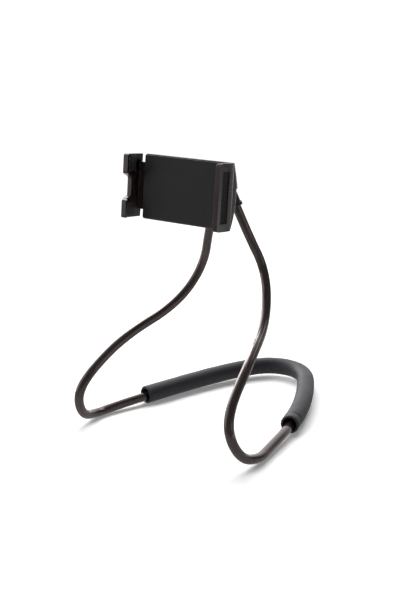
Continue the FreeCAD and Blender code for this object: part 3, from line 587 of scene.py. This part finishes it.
def sleeve_rings(last):
    """Ring place, slide, radius and side of every ring: along the outside and back in the bore."""
    half_wall = (SLEEVE_RADIUS - SLEEVE_BORE) / 2
    lip = [(LIP * math.sin(a), half_wall * (1 - math.cos(a))) for a in LIP_TURNS]
    rings = [(0, -slide, SLEEVE_RADIUS - drop, True) for slide, drop in reversed(lip)]
    rings += [(i, 0.0, SLEEVE_RADIUS, True) for i in range(last + 1)]
    rings += [(last, slide, SLEEVE_RADIUS - drop, True) for slide, drop in lip]
    rings += [(last, slide, SLEEVE_BORE + drop, False) for slide, drop in reversed(lip)]
    rings += [(i, 0.0, SLEEVE_BORE, False) for i in range(last, -1, -BORE_STRIDE)]
    rings += [(0, -slide, SLEEVE_BORE + drop, False) for slide, drop in lip]
    return rings


def sleeve_mesh(frames):
    mesh = bmesh.new()
    rings = [add_ring(mesh, frames, *ring) for ring in sleeve_rings(len(frames) - 1)]
    for ring, after in zip(rings, rings[1:] + rings[:1]):
        for n in range(SLEEVE_SIDES):
            m = (n + 1) % SLEEVE_SIDES
            mesh.faces.new((ring[n], ring[m], after[m], after[n]))
    bmesh.ops.recalc_face_normals(mesh, faces=mesh.faces)
    result = bpy.data.meshes.new("neck_sleeve_foam")
    mesh.to_mesh(result)
    mesh.free()
    result.shade_smooth()
    return result


sleeve = new_piece("neck_sleeve_foam", sleeve_mesh(collar_frames), "foam_sleeve")
declare(sleeve, "neck_frame", "foam_sleeve", "neck_sleeve")

# %% [markdown]
# ## Moulded pieces
# A moulded piece has no knife edges: every corner carries a small radius, and that radius is what
# catches the light; most finishes also paint a highlight on it. Each of these pieces starts as a
# copy of its solid. Its flat triangles are dissolved into whole faces, every corner sharper than a
# set angle is bevelled, and weighted normals keep the flats flat. The thin liner in the ball joint
# stays as its solid is.

# %% How a corner is rounded
MERGE_GAP = 2e-6
FLAT_ANGLE = math.radians(0.5)
SHARP_ANGLE = math.radians(28.0)
ROUND_STEPS = 3


def merged_solid(node):
    """A copy of a solid's mesh with its loose triangles joined."""
    mesh = bmesh.new()
    mesh.from_mesh(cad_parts[node].data)
    bmesh.ops.remove_doubles(mesh, verts=mesh.verts, dist=MERGE_GAP)
    return mesh


def rounded_copy(node, name, radius):
    """A copy of a solid with its corners rounded to a radius in millimetres and marked."""
    mesh = merged_solid(node)
    corner = mesh.faces.layers.float.new(CORNER)
    bmesh.ops.dissolve_limit(mesh, angle_limit=FLAT_ANGLE, verts=mesh.verts, edges=mesh.edges)
    corners = [edge for edge in mesh.edges
               if len(edge.link_faces) == 2 and edge.calc_face_angle() > SHARP_ANGLE]
    rounded = bmesh.ops.bevel(mesh, geom=corners, offset=radius * MM, offset_type="OFFSET",
                              segments=ROUND_STEPS, profile=0.5, affect="EDGES", clamp_overlap=True)
    for face in rounded["faces"]:
        face[corner] = 1.0
    copy = bpy.data.meshes.new(name)
    mesh.to_mesh(copy)
    mesh.free()
    copy.shade_smooth()
    return copy


def flat_shaded(mesh, name):
    """The same mesh with normals that keep its large flat faces flat."""
    maker = link_object(name + "_maker", mesh)
    maker.modifiers.new("flat_faces", "WEIGHTED_NORMAL").keep_sharp = True
    result = plain_mesh(maker, name)
    bpy.data.objects.remove(maker)
    return result


print("corners over %.0f degrees are rounded" % math.degrees(SHARP_ANGLE))

# %% Copies of the solids with rounded corners
# Each row has a solid, its finish, its body and its corners' radius.
MOULDED = (
    ("front_shell", "clip_plastic", "clip", 0.45),
    ("rear_cover", "clip_plastic", "clip", 0.4),
    ("sliding_jaw", "clip_plastic", "jaw", 0.5),
    ("front_pad", "soft_rubber", "clip", 0.4),
    ("fixed_jaw_pad", "painted_shade_rubber", "clip", 0.35),
    ("lug_pad_upper", "painted_light_rubber", "jaw", 0.35),
    ("lug_pad_lower", "painted_light_rubber", "jaw", 0.35),
    ("joiner_front", "clip_plastic", "neck_frame", 0.4),
    ("joiner_back", "clip_plastic", "neck_frame", 0.4),
    ("rod_ferrule_right", "grip_plastic", "neck_frame", 0.4),
    ("rod_ferrule_left", "grip_plastic", "neck_frame", 0.4),
    ("lock_ring", "grip_plastic", "tilt_ring", 0.3),
    ("ball_stud", "steel", "neck_frame", 0.2),
)
# The window rubber is a darker copy of the soft rubber, painted shade, and the lug rubber a lighter copy,
# painted light.
SHARED_SLOTS = {"painted_shade_rubber": "soft_rubber", "painted_light_rubber": "soft_rubber"}

for node, finish, body, radius in MOULDED:
    name = node + "_rounded"
    piece = new_piece(name, flat_shaded(rounded_copy(node, name, radius), name), finish)
    declare(piece, body, SHARED_SLOTS.get(finish, finish), node)

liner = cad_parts["ball_liner"].data
liner.materials.clear()
liner.materials.append(FINISHES["liner_nylon"])
print("ball_liner keeps its solid, with the nylon finish")

# %% [markdown]
# ## Screws
# Seven small screws close the joiner and hold the clip's back cover. But for their size they are
# alike: a low domed head with a cross recess on a plain shank. One Geometry Nodes tree makes the
# screw, cuts the recess with a boolean, and sets a copy on every seat. The seats are read from the
# solids, so each screw sits where the model has its hole.

# %% Tree that sets a cross-head screw on every seat
SCREW_SIDES = 28
HEAD_RINGS = 4
DOME_SHARE = 0.35
DOME_POWER = 3.0


def upward(tree, amount, factor):
    """A vector along z of a socket's value times a factor."""
    height = add_math(tree, "MULTIPLY", amount, factor)
    return add_node(tree, "ShaderNodeCombineXYZ", Z=height).outputs["Vector"]


def add_domed_head(tree, source):
    """A low cylinder on the seat, whose top falls away towards its rim."""
    head = add_node(tree, "GeometryNodeMeshCylinder", Radius=source["Head Radius"],
                    Depth=source["Head Height"], Vertices=SCREW_SIDES, Fill_Segments=HEAD_RINGS)
    raised = add_node(tree, "GeometryNodeTransform", Geometry=head.outputs["Mesh"],
                      Translation=upward(tree, source["Head Height"], 0.5))
    place = tree.nodes.new("GeometryNodeInputPosition").outputs["Position"]
    parts = add_node(tree, "ShaderNodeSeparateXYZ", Vector=place).outputs
    flat = add_node(tree, "ShaderNodeCombineXYZ", X=parts["X"], Y=parts["Y"]).outputs["Vector"]
    reach = add_math(tree, "LENGTH", flat, kind="ShaderNodeVectorMath")
    share = add_math(tree, "DIVIDE", reach, source["Head Radius"])
    drop = add_math(tree, "MULTIPLY", add_math(tree, "POWER", share, DOME_POWER), parts["Z"])
    domed = add_node(tree, "GeometryNodeSetPosition", Geometry=raised.outputs["Geometry"],
                     Offset=upward(tree, drop, -DOME_SHARE))
    return domed.outputs["Geometry"]


def cut_cross(tree, head, source):
    """The head less two crossed bars."""
    recessed = add_node(tree, "GeometryNodeMeshBoolean", Mesh_1=head)
    recessed.operation = "DIFFERENCE"
    top = upward(tree, source["Head Height"], 1.0)
    for angle in (0.0, math.pi / 2):
        bar = add_node(tree, "GeometryNodeMeshCube", Size=source["Recess"])
        turned = add_node(tree, "GeometryNodeTransform", Geometry=bar.outputs["Mesh"],
                          Translation=top, Rotation=(0.0, 0.0, angle))
        set_inputs(tree, recessed, Mesh_2=turned.outputs["Geometry"])
    return recessed.outputs["Mesh"]


def add_shank(tree, source):
    """A plain shank that hangs from the seat."""
    shank = add_node(tree, "GeometryNodeMeshCylinder", Radius=source["Shank Radius"],
                     Depth=source["Shank Length"], Vertices=SCREW_SIDES)
    lowered = add_node(tree, "GeometryNodeTransform", Geometry=shank.outputs["Mesh"],
                       Translation=upward(tree, source["Shank Length"], -0.5))
    return lowered.outputs["Geometry"]


def make_screw_tree():
    tree, source, sink = new_geometry_tree("cross_head_screws", {
        "Seats": "Object", "Turn": "Vector", "Head Radius": "Float", "Head Height": "Float",
        "Shank Radius": "Float", "Shank Length": "Float", "Recess": "Vector", "Finish": "Material"})
    head = cut_cross(tree, add_domed_head(tree, source), source)
    screw = tree.nodes.new("GeometryNodeJoinGeometry")
    for part in (head, add_shank(tree, source)):
        set_inputs(tree, screw, Geometry=part)
    seats = add_node(tree, "GeometryNodeObjectInfo", Object=source["Seats"])
    copies = add_node(tree, "GeometryNodeInstanceOnPoints", Points=seats.outputs["Geometry"],
                      Instance=screw.outputs["Geometry"], Rotation=source["Turn"])
    close_tree(tree, copies.outputs["Instances"], source["Finish"], sink, smooth=False)
    return tree


SCREW_TREE = make_screw_tree()
print("screw tree:", len(SCREW_TREE.nodes), "nodes")

# %% Screws of the joiner and of the back cover
HEAD_HEIGHT = 1.4
RIM_SLACK = 0.01
RECESS_LENGTH_SHARE = 0.62
RECESS_WIDTH_SHARE = 0.15
RECESS_DEPTH_SHARE = 1.2
CLIP_PITCH = math.radians(4.5)
CLIP_BACK = Vector((0.0, math.cos(CLIP_PITCH), -math.sin(CLIP_PITCH)))
JOINER_BACK = JOINER_TURN @ Vector((0.0, 1.0, 0.0))


def screw_seats(node, way):
    """The middle of the seat under each screw head, from the solid's separate screws."""
    mesh = merged_solid(node)
    unseen = set(mesh.verts)
    seats = []
    while unseen:
        island = [unseen.pop()]
        for vertex in island:
            near = {edge.other_vert(vertex) for edge in vertex.link_edges} & unseen
            unseen -= near
            island.extend(near)
        top = max(vertex.co.dot(way) for vertex in island)
        rim = [vertex.co for vertex in island if vertex.co.dot(way) > top - RIM_SLACK * MM]
        seats.append(sum(rim, Vector()) / len(rim) - way * HEAD_HEIGHT * MM)
    mesh.free()
    return seats


def set_screws(node, body, way, head, shank, length):
    """Screws of a head and shank diameter and a shank length, with their heads along a way."""
    points = bpy.data.meshes.new(node + "_seats")
    points.from_pydata(screw_seats(node, way), [], [])
    holder = link_object(node + "_seats", points)
    recess = Vector((head * RECESS_LENGTH_SHARE, head * RECESS_WIDTH_SHARE,
                     HEAD_HEIGHT * RECESS_DEPTH_SHARE))
    mesh = grown_mesh(node + "_crosshead", SCREW_TREE, {
        "Seats": holder, "Turn": way.to_track_quat("Z", "Y").to_euler(), "Head Radius": head / 2 * MM,
        "Head Height": HEAD_HEIGHT * MM, "Shank Radius": shank / 2 * MM, "Shank Length": length * MM,
        "Recess": recess * MM, "Finish": FINISHES["steel"]})
    bpy.data.objects.remove(holder)
    declare(new_piece(node + "_crosshead", mesh, "steel"), body, "steel", node)


set_screws("joiner_screws", "neck_frame", JOINER_BACK, head=3.8, shank=2.0, length=8.6)
set_screws("cover_screws", "clip", CLIP_BACK, head=3.2, shank=1.7, length=3.2)

# %% [markdown]
# ## Return spring
# Inside the clip a thin compression spring sits in the jaw tongue's slot, between a post on the
# shell and the slot's far end. The solid has a coil of straight chords, which is enough for a
# solid; here a Geometry Nodes tree coils a round wire. Pulling the jaw open shortens the spring.
# Here the piece rides on the clip.

# %% Tree that coils a round wire
COIL_STEPS = 24
WIRE_SIDES = 10


def make_spring_tree():
    tree, source, sink = new_geometry_tree("coiled_wire", {
        "Turns": "Float", "Coil Radius": "Float", "Length": "Float", "Wire Radius": "Float",
        "Turn": "Vector", "Place": "Vector", "Finish": "Material"})
    coil = add_node(tree, "GeometryNodeCurveSpiral", Resolution=COIL_STEPS, Rotations=source["Turns"],
                    Start_Radius=source["Coil Radius"], End_Radius=source["Coil Radius"],
                    Height=source["Length"])
    wire = add_sweep(tree, coil.outputs["Curve"], source["Wire Radius"], WIRE_SIDES)
    placed = add_node(tree, "GeometryNodeTransform", Geometry=wire, Rotation=source["Turn"],
                      Translation=source["Place"])
    close_tree(tree, placed.outputs["Geometry"], source["Finish"], sink, smooth=True)
    return tree


SPRING_TREE = make_spring_tree()
print("spring tree:", len(SPRING_TREE.nodes), "nodes")

# %% Spring between the post and the jaw
SPRING_TURNS = 10.0
SPRING_RADIUS = 1.05
SPRING_LENGTH = 34.2
WIRE_RADIUS = 0.25
CLIP_ROLL = math.radians(1.1)
CLIP_TURN = Matrix.Rotation(-CLIP_PITCH, 3, "X") @ Matrix.Rotation(CLIP_ROLL, 3, "Y")
CLIP_RIGHT = CLIP_TURN @ Vector((1.0, 0.0, 0.0))

low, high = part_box("return_spring")
spring_start = (Vector(low) + Vector(high)) / 2 - CLIP_RIGHT * SPRING_LENGTH / 2 * MM
spring_mesh = grown_mesh("return_spring_coil", SPRING_TREE, {
    "Turns": SPRING_TURNS, "Coil Radius": SPRING_RADIUS * MM, "Length": SPRING_LENGTH * MM,
    "Wire Radius": WIRE_RADIUS * MM, "Turn": CLIP_RIGHT.to_track_quat("Z", "Y").to_euler(),
    "Place": spring_start, "Finish": FINISHES["steel"]})
spring = new_piece("return_spring_coil", spring_mesh, "steel")
declare(spring, "clip", "steel", "return_spring")
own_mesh(spring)

# %% [markdown]
# ## Floor and light
# The studio is plain: white paper under the holder that runs out into a white background, a large
# soft lamp at the back left and a weaker one at the front left. A glossy black thing is drawn by
# what it mirrors, so other lamps show only in gloss: low ones to the left draw the thin streaks
# along the rod, a faint one to the right softens its other side, and the rest touch the clip's
# edges. In gloss the paper and the surround are bright only on the lit side, and the paper also
# close by and in one patch to the right, which lights the fixed jaw's side. The clip's other faces
# stay black.

# %% Paper under the holder
WHITE = (1.0, 1.0, 1.0, 1.0)
FLOOR_HALF = 30.0
PAPER_TONE = (0.9, 0.9, 0.9, 1.0)
PAPER_ROUGHNESS = 0.95
PAPER_LIFT = 0.22
PAPER_GLOW = 1.1
GLOW_REACH = (0.35, 1.0)
LIT_SIDE = (-1.0, 0.7, 0.0)
GLOSS_DIM = 0.16
GLOSS_FULL = 1.6
PAPER_LIT = (0.1, 0.6)
NEAR_GLOSS = 0.28
NEAR_REACH = (0.15, 0.45)
SIDE_GLOSS = 2.2
SIDE_PATCH = (0.75, 0.3, 0.0)
SIDE_REACH = (0.2, 0.5)


def mix_shaders(tree, factor, first, second):
    """The first shader where the factor is 0, and the second where it is 1."""
    node = add_node(tree, "ShaderNodeMixShader", Fac=factor)
    tree.links.new(first, node.inputs[1])
    tree.links.new(second, node.inputs[2])
    return node.outputs["Shader"]


def lit_side_ramp(tree, way, reach, dim, full):
    """How bright a place or a direction is by how far it lies on the lit side."""
    along = add_math(tree, "DOT_PRODUCT", way, LIT_SIDE, kind="ShaderNodeVectorMath")
    return add_ramp(tree, along, reach, dim, full)


def paper_in_gloss(tree, place, distance):
    """How bright the paper is in glossy faces: the lit side, the near paper and the side patch."""
    lit = lit_side_ramp(tree, place, PAPER_LIT, GLOSS_DIM, GLOSS_FULL)
    near = add_ramp(tree, distance, NEAR_REACH, NEAR_GLOSS, 0.0, shape="LINEAR")
    to_side = add_math(tree, "DISTANCE", place, SIDE_PATCH, kind="ShaderNodeVectorMath")
    side = add_ramp(tree, to_side, SIDE_REACH, SIDE_GLOSS, 0.0, shape="LINEAR")
    return add_math(tree, "ADD", add_math(tree, "ADD", lit, near), side)


def make_paper():
    """White paper that catches shadows near the holder and shines evenly white further out."""
    material = bpy.data.materials.new("studio_paper")
    material.use_nodes = True
    tree = material.node_tree
    place = tree.nodes.new("ShaderNodeTexCoord").outputs["Object"]
    rays = tree.nodes.new("ShaderNodeLightPath").outputs
    distance = add_math(tree, "LENGTH", place, kind="ShaderNodeVectorMath")
    paper = tree.nodes["Principled BSDF"]
    set_inputs(tree, paper, Base_Color=PAPER_TONE, Roughness=PAPER_ROUGHNESS, Specular_IOR_Level=0.0,
               Emission_Color=WHITE,
               Emission_Strength=add_math(tree, "MULTIPLY", rays["Is Camera Ray"], PAPER_LIFT))
    glow = add_node(tree, "ShaderNodeEmission", Strength=PAPER_GLOW)
    gloss = add_node(tree, "ShaderNodeEmission", Strength=paper_in_gloss(tree, place, distance))
    fade = add_ramp(tree, distance, GLOW_REACH, 0.0, 1.0)
    seen = mix_shaders(tree, fade, paper.outputs["BSDF"], glow.outputs["Emission"])
    whole = mix_shaders(tree, rays["Is Glossy Ray"], seen, gloss.outputs["Emission"])
    set_inputs(tree, tree.nodes["Material Output"], Surface=whole)
    return material


def make_floor():
    mesh = bpy.data.meshes.new("studio_floor")
    corners = [(-FLOOR_HALF, -FLOOR_HALF, 0), (FLOOR_HALF, -FLOOR_HALF, 0),
               (FLOOR_HALF, FLOOR_HALF, 0), (-FLOOR_HALF, FLOOR_HALF, 0)]
    mesh.from_pydata(corners, [], [(0, 1, 2, 3)])
    mesh.materials.append(make_paper())
    link_object("studio_floor", mesh)


make_floor()
print("floor: %.0f m wide" % (2 * FLOOR_HALF))

# %% White surround
SURROUND_DIM = 0.15
SURROUND_LIT = (-0.8, 0.8)
SURROUND_GLOSS_LIT = (0.1, 0.8)


def make_surround():
    """White for the eye; as a light, bright on the lit side and dim before the holder."""
    world = bpy.data.worlds.new("studio_surround")
    bpy.context.scene.world = world
    world.use_nodes = True
    tree = world.node_tree
    around = tree.nodes.new("ShaderNodeTexCoord").outputs["Generated"]
    rays = tree.nodes.new("ShaderNodeLightPath").outputs
    light = tree.nodes["Background"]
    set_inputs(tree, light, Strength=lit_side_ramp(tree, around, SURROUND_LIT, SURROUND_DIM, 1.0))
    gloss = add_node(tree, "ShaderNodeBackground",
                     Strength=lit_side_ramp(tree, around, SURROUND_GLOSS_LIT, GLOSS_DIM, GLOSS_FULL))
    backdrop = add_node(tree, "ShaderNodeBackground", Color=WHITE, Strength=1.0)
    lighting = mix_shaders(tree, rays["Is Glossy Ray"], light.outputs["Background"],
                           gloss.outputs["Background"])
    whole = mix_shaders(tree, rays["Is Camera Ray"], lighting, backdrop.outputs["Background"])
    set_inputs(tree, tree.nodes["World Output"], Surface=whole)


make_surround()
print("surround:", bpy.context.scene.world.name)

# %% Lamps
# Each row has a lamp's name, place, width and height, and power in watts.
SOFT_LAMPS = (
    ("soft_key", (-0.9, 1.2, 1.6), (2.0, 2.0), 84.0),
    ("soft_fill", (-1.0, -0.9, 1.1), (1.1, 1.1), 17.0),
)
GLOSS_STRIPS = (
    ("strip_left", (-1.07, 0.67, 1.05), (0.45, 1.0), 6.0),
    ("strip_low", (-1.45, 0.47, 0.62), (0.9, 0.9), 9.0),
    ("strip_right", (1.57, 0.06, 0.4), (0.8, 0.36), 0.6),
    ("strip_back", (0.1, 1.1, 1.2), (1.5, 0.35), 3.0),
    ("strip_front", (-0.75, -0.85, 0.5), (0.2, 1.3), 1.4),
)
LAMP_TARGET = Vector((0.0, 0.0, 0.1))


def make_lamp(name, place, extent, power, in_gloss):
    """A rectangular lamp that either lights the holder or shows in its glossy faces."""
    data = bpy.data.lights.new(name, "AREA")
    data.shape = "RECTANGLE"
    data.size, data.size_y = extent
    data.energy = power
    lamp = link_object(name, data)
    lamp.visible_glossy = in_gloss
    lamp.visible_diffuse = not in_gloss
    lamp.location = place
    lamp.rotation_euler = (LAMP_TARGET - Vector(place)).to_track_quat("-Z", "Y").to_euler()


for name, place, extent, power in SOFT_LAMPS:
    make_lamp(name, place, extent, power, in_gloss=False)
for name, place, extent, power in GLOSS_STRIPS:
    make_lamp(name, place, extent, power, in_gloss=True)
bpy.context.scene.view_settings.view_transform = "Standard"
print("lamps:", len(SOFT_LAMPS), "that light and", len(GLOSS_STRIPS), "that show in gloss")
